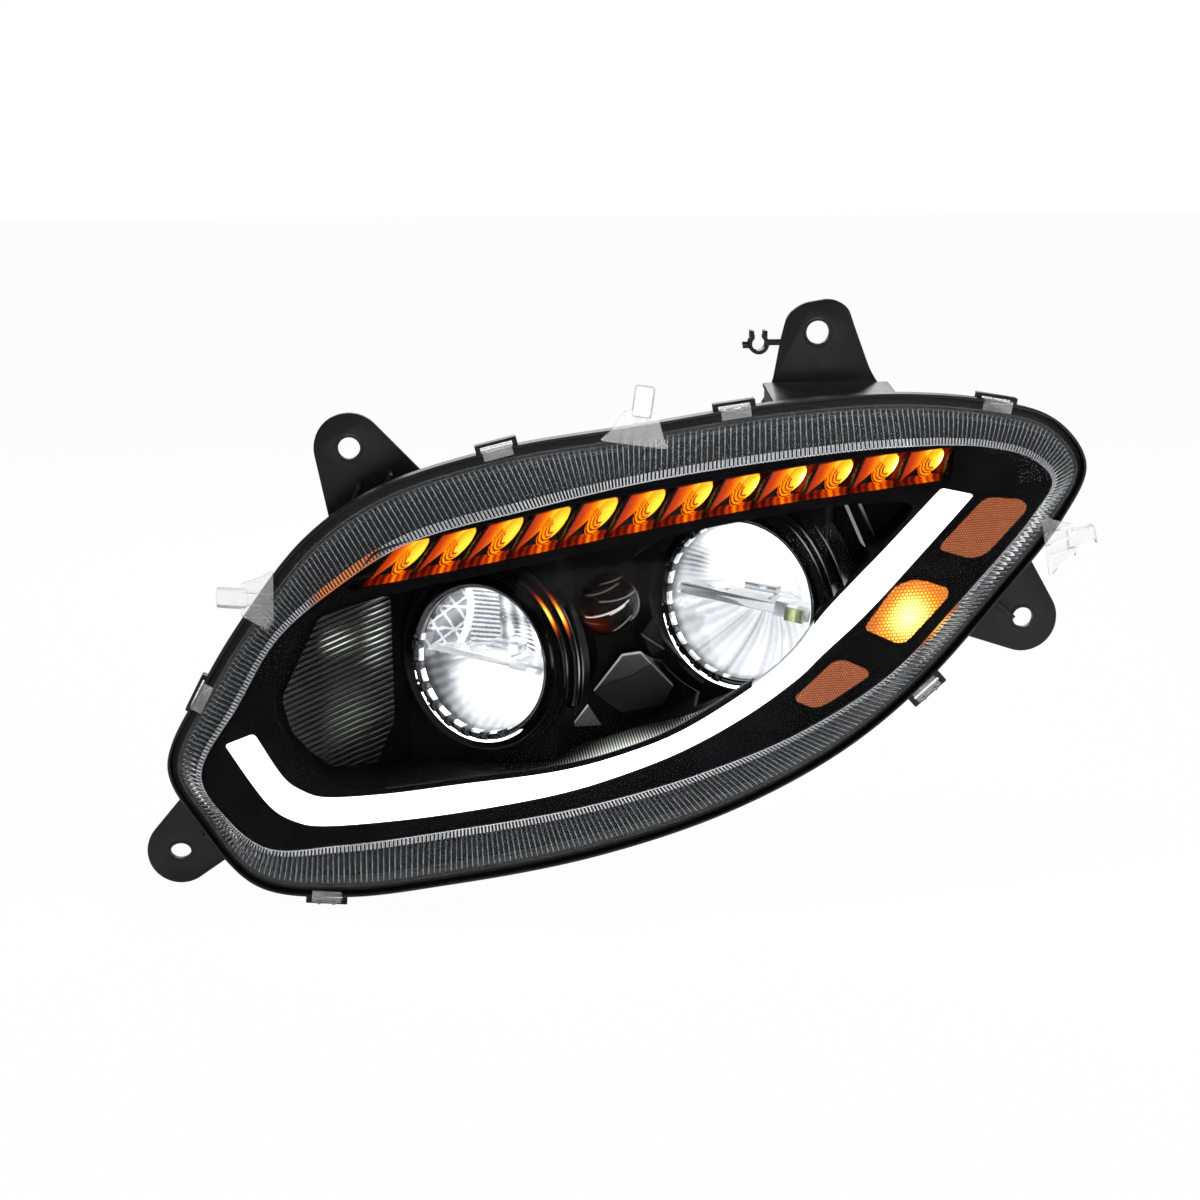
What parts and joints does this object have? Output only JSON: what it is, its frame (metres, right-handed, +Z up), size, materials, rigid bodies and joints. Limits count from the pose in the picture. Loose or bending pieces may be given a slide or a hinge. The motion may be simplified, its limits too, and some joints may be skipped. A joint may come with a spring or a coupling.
{
  "type": "composite led headlight assembly",
  "caption": "Swept-back composite headlight with round LED bowls, a light guide, a sequential turn strip, a marker, clear wrap lens, black housing with bolt tabs and inner aim adjusters.",
  "frame": {"origin": "on the rear mounting face of the top tab, just below its bolt hole", "axes": "+Z up on the vehicle, -Y out through the lens, +X towards the outboard end that wraps round the fender"},
  "size_m": [0.7972, 0.2134, 0.4937],
  "materials": {
    "black_plastic": "fine moulded grain",
    "gloss_black_plastic": "moulded flutes",
    "clear_lens": "clear polycarbonate, hard coated",
    "black_rubber": "matt",
    "red_rubber": "silicone",
    "smoked_lens": "smoked",
    "amber_bulb": "amber",
    "light_guide": "lit milky white",
    "white_plastic": "matt white",
    "circuit_board": "solder mask",
    "smoked_chrome": "black chrome",
    "amber_lens": "prismatic amber",
    "reflex_amber": "prismatic reflex",
    "bowl_chrome": "vacuum metallised",
    "cast_aluminium": "bead blasted",
    "grey_plastic": "glass filled",
    "natural_nylon": "satin",
    "zinc_steel": "zinc plated",
    "cable_sleeve": "corrugated sleeve"
  },
  "bodies": {
    "lamp_body": {"housing": "black_plastic", "lens": "clear_lens", "lens_seal": "black_rubber", "bezel": "black_plastic", "fluted_panel": "gloss_black_plastic", "centre_lamp_lens": "smoked_lens", "centre_lamp_bulb": "amber_bulb", "drl_light_guide": "light_guide", "drl_reflector_tray": "white_plastic", "drl_led_board_inboard": "circuit_board", "drl_led_board_outboard": "circuit_board", "turn_signal_reflector": "smoked_chrome", "turn_signal_led_board": "circuit_board", "side_marker_lens": "amber_lens", "side_marker_housing": "black_plastic", "side_marker_led_board": "circuit_board", "reflex_reflector_upper": "reflex_amber", "reflex_reflector_lower": "reflex_amber", "pivot_ball_stud": "zinc_steel", "vertical_aim_bush": "grey_plastic", "horizontal_aim_bush": "grey_plastic", "led_driver": "cast_aluminium", "driver_screw_1": "zinc_steel", "driver_screw_2": "zinc_steel", "driver_screw_3": "zinc_steel", "driver_screw_4": "zinc_steel", "breather_1": "black_rubber", "breather_2": "black_rubber", "harness_grommet": "black_rubber", "wire_harness": "cable_sleeve", "harness_connector": "black_plastic", "bezel_screw_1": "zinc_steel", "bezel_screw_2": "zinc_steel", "bezel_screw_3": "zinc_steel"},
    "pivot_socket": {"pivot_cup": "natural_nylon"},
    "carrier": {"reflector_carrier": "grey_plastic", "high_beam_reflector": "bowl_chrome", "high_beam_trim_ring": "bowl_chrome", "high_beam_led_bar": "bowl_chrome", "high_beam_led_board": "circuit_board", "high_beam_heat_sink": "cast_aluminium", "low_beam_reflector": "bowl_chrome", "low_beam_trim_ring": "bowl_chrome", "low_beam_led_bar": "bowl_chrome", "low_beam_led_board": "circuit_board", "low_beam_heat_sink": "cast_aluminium"},
    "vertical_knob": {"vertical_aim_knob": "natural_nylon"},
    "vertical_stud": {"vertical_aim_ball_stud": "zinc_steel"},
    "horizontal_knob": {"horizontal_aim_knob": "natural_nylon"},
    "horizontal_stud": {"horizontal_aim_ball_stud": "zinc_steel"},
    "high_beam_cap": {"high_beam_rear_cap": "black_plastic", "high_beam_cap_seal": "red_rubber"},
    "low_beam_cap": {"low_beam_rear_cap": "black_plastic", "low_beam_cap_seal": "red_rubber"}
  },
  "joints": [
    {"name": "aim_horizontal", "type": "hinge", "parent": "lamp_body", "child": "pivot_socket", "pos_m": [-0.133, -0.006, -0.143], "axis": [0, 0, 1], "range_deg": [-2, 2]},
    {"name": "aim_vertical", "type": "hinge", "parent": "pivot_socket", "child": "carrier", "pos_m": [-0.133, -0.006, -0.143], "axis": [1, 0, 0], "range_deg": [-2, 2]},
    {"name": "vertical_stud_slide", "type": "slide", "parent": "lamp_body", "child": "vertical_stud", "axis": [0, 1, 0], "range_m": [-0.0047, 0.0047]},
    {"name": "vertical_knob_turn", "type": "hinge", "parent": "lamp_body", "child": "vertical_knob", "pos_m": [-0.133, 0.02, -0.275], "axis": [0, 1, 0], "range_deg": [-1120, 1120]},
    {"name": "horizontal_stud_slide", "type": "slide", "parent": "lamp_body", "child": "horizontal_stud", "axis": [0, 1, 0], "range_m": [-0.0057, 0.0057]},
    {"name": "horizontal_knob_turn", "type": "hinge", "parent": "lamp_body", "child": "horizontal_knob", "pos_m": [-0.293, 0.02, -0.143], "axis": [0, 1, 0], "range_deg": [-1350, 1350]},
    {"name": "high_beam_cap_turn", "type": "hinge", "parent": "lamp_body", "child": "high_beam_cap", "pos_m": [-0.233, 0.044, -0.236], "axis": [0, 1, 0], "range_deg": [0, 40]},
    {"name": "low_beam_cap_turn", "type": "hinge", "parent": "lamp_body", "child": "low_beam_cap", "pos_m": [-0.042, 0.064, -0.195], "axis": [0, 1, 0], "range_deg": [0, 40]}
  ],
  "couplings": [
    {"joint": "vertical_stud_slide", "follows": "aim_vertical", "m_per_rad": 0.132},
    {"joint": "vertical_knob_turn", "follows": "aim_vertical", "ratio": 552.92},
    {"joint": "horizontal_stud_slide", "follows": "aim_horizontal", "m_per_rad": -0.16},
    {"joint": "horizontal_knob_turn", "follows": "aim_horizontal", "ratio": -670.21}
  ]
}
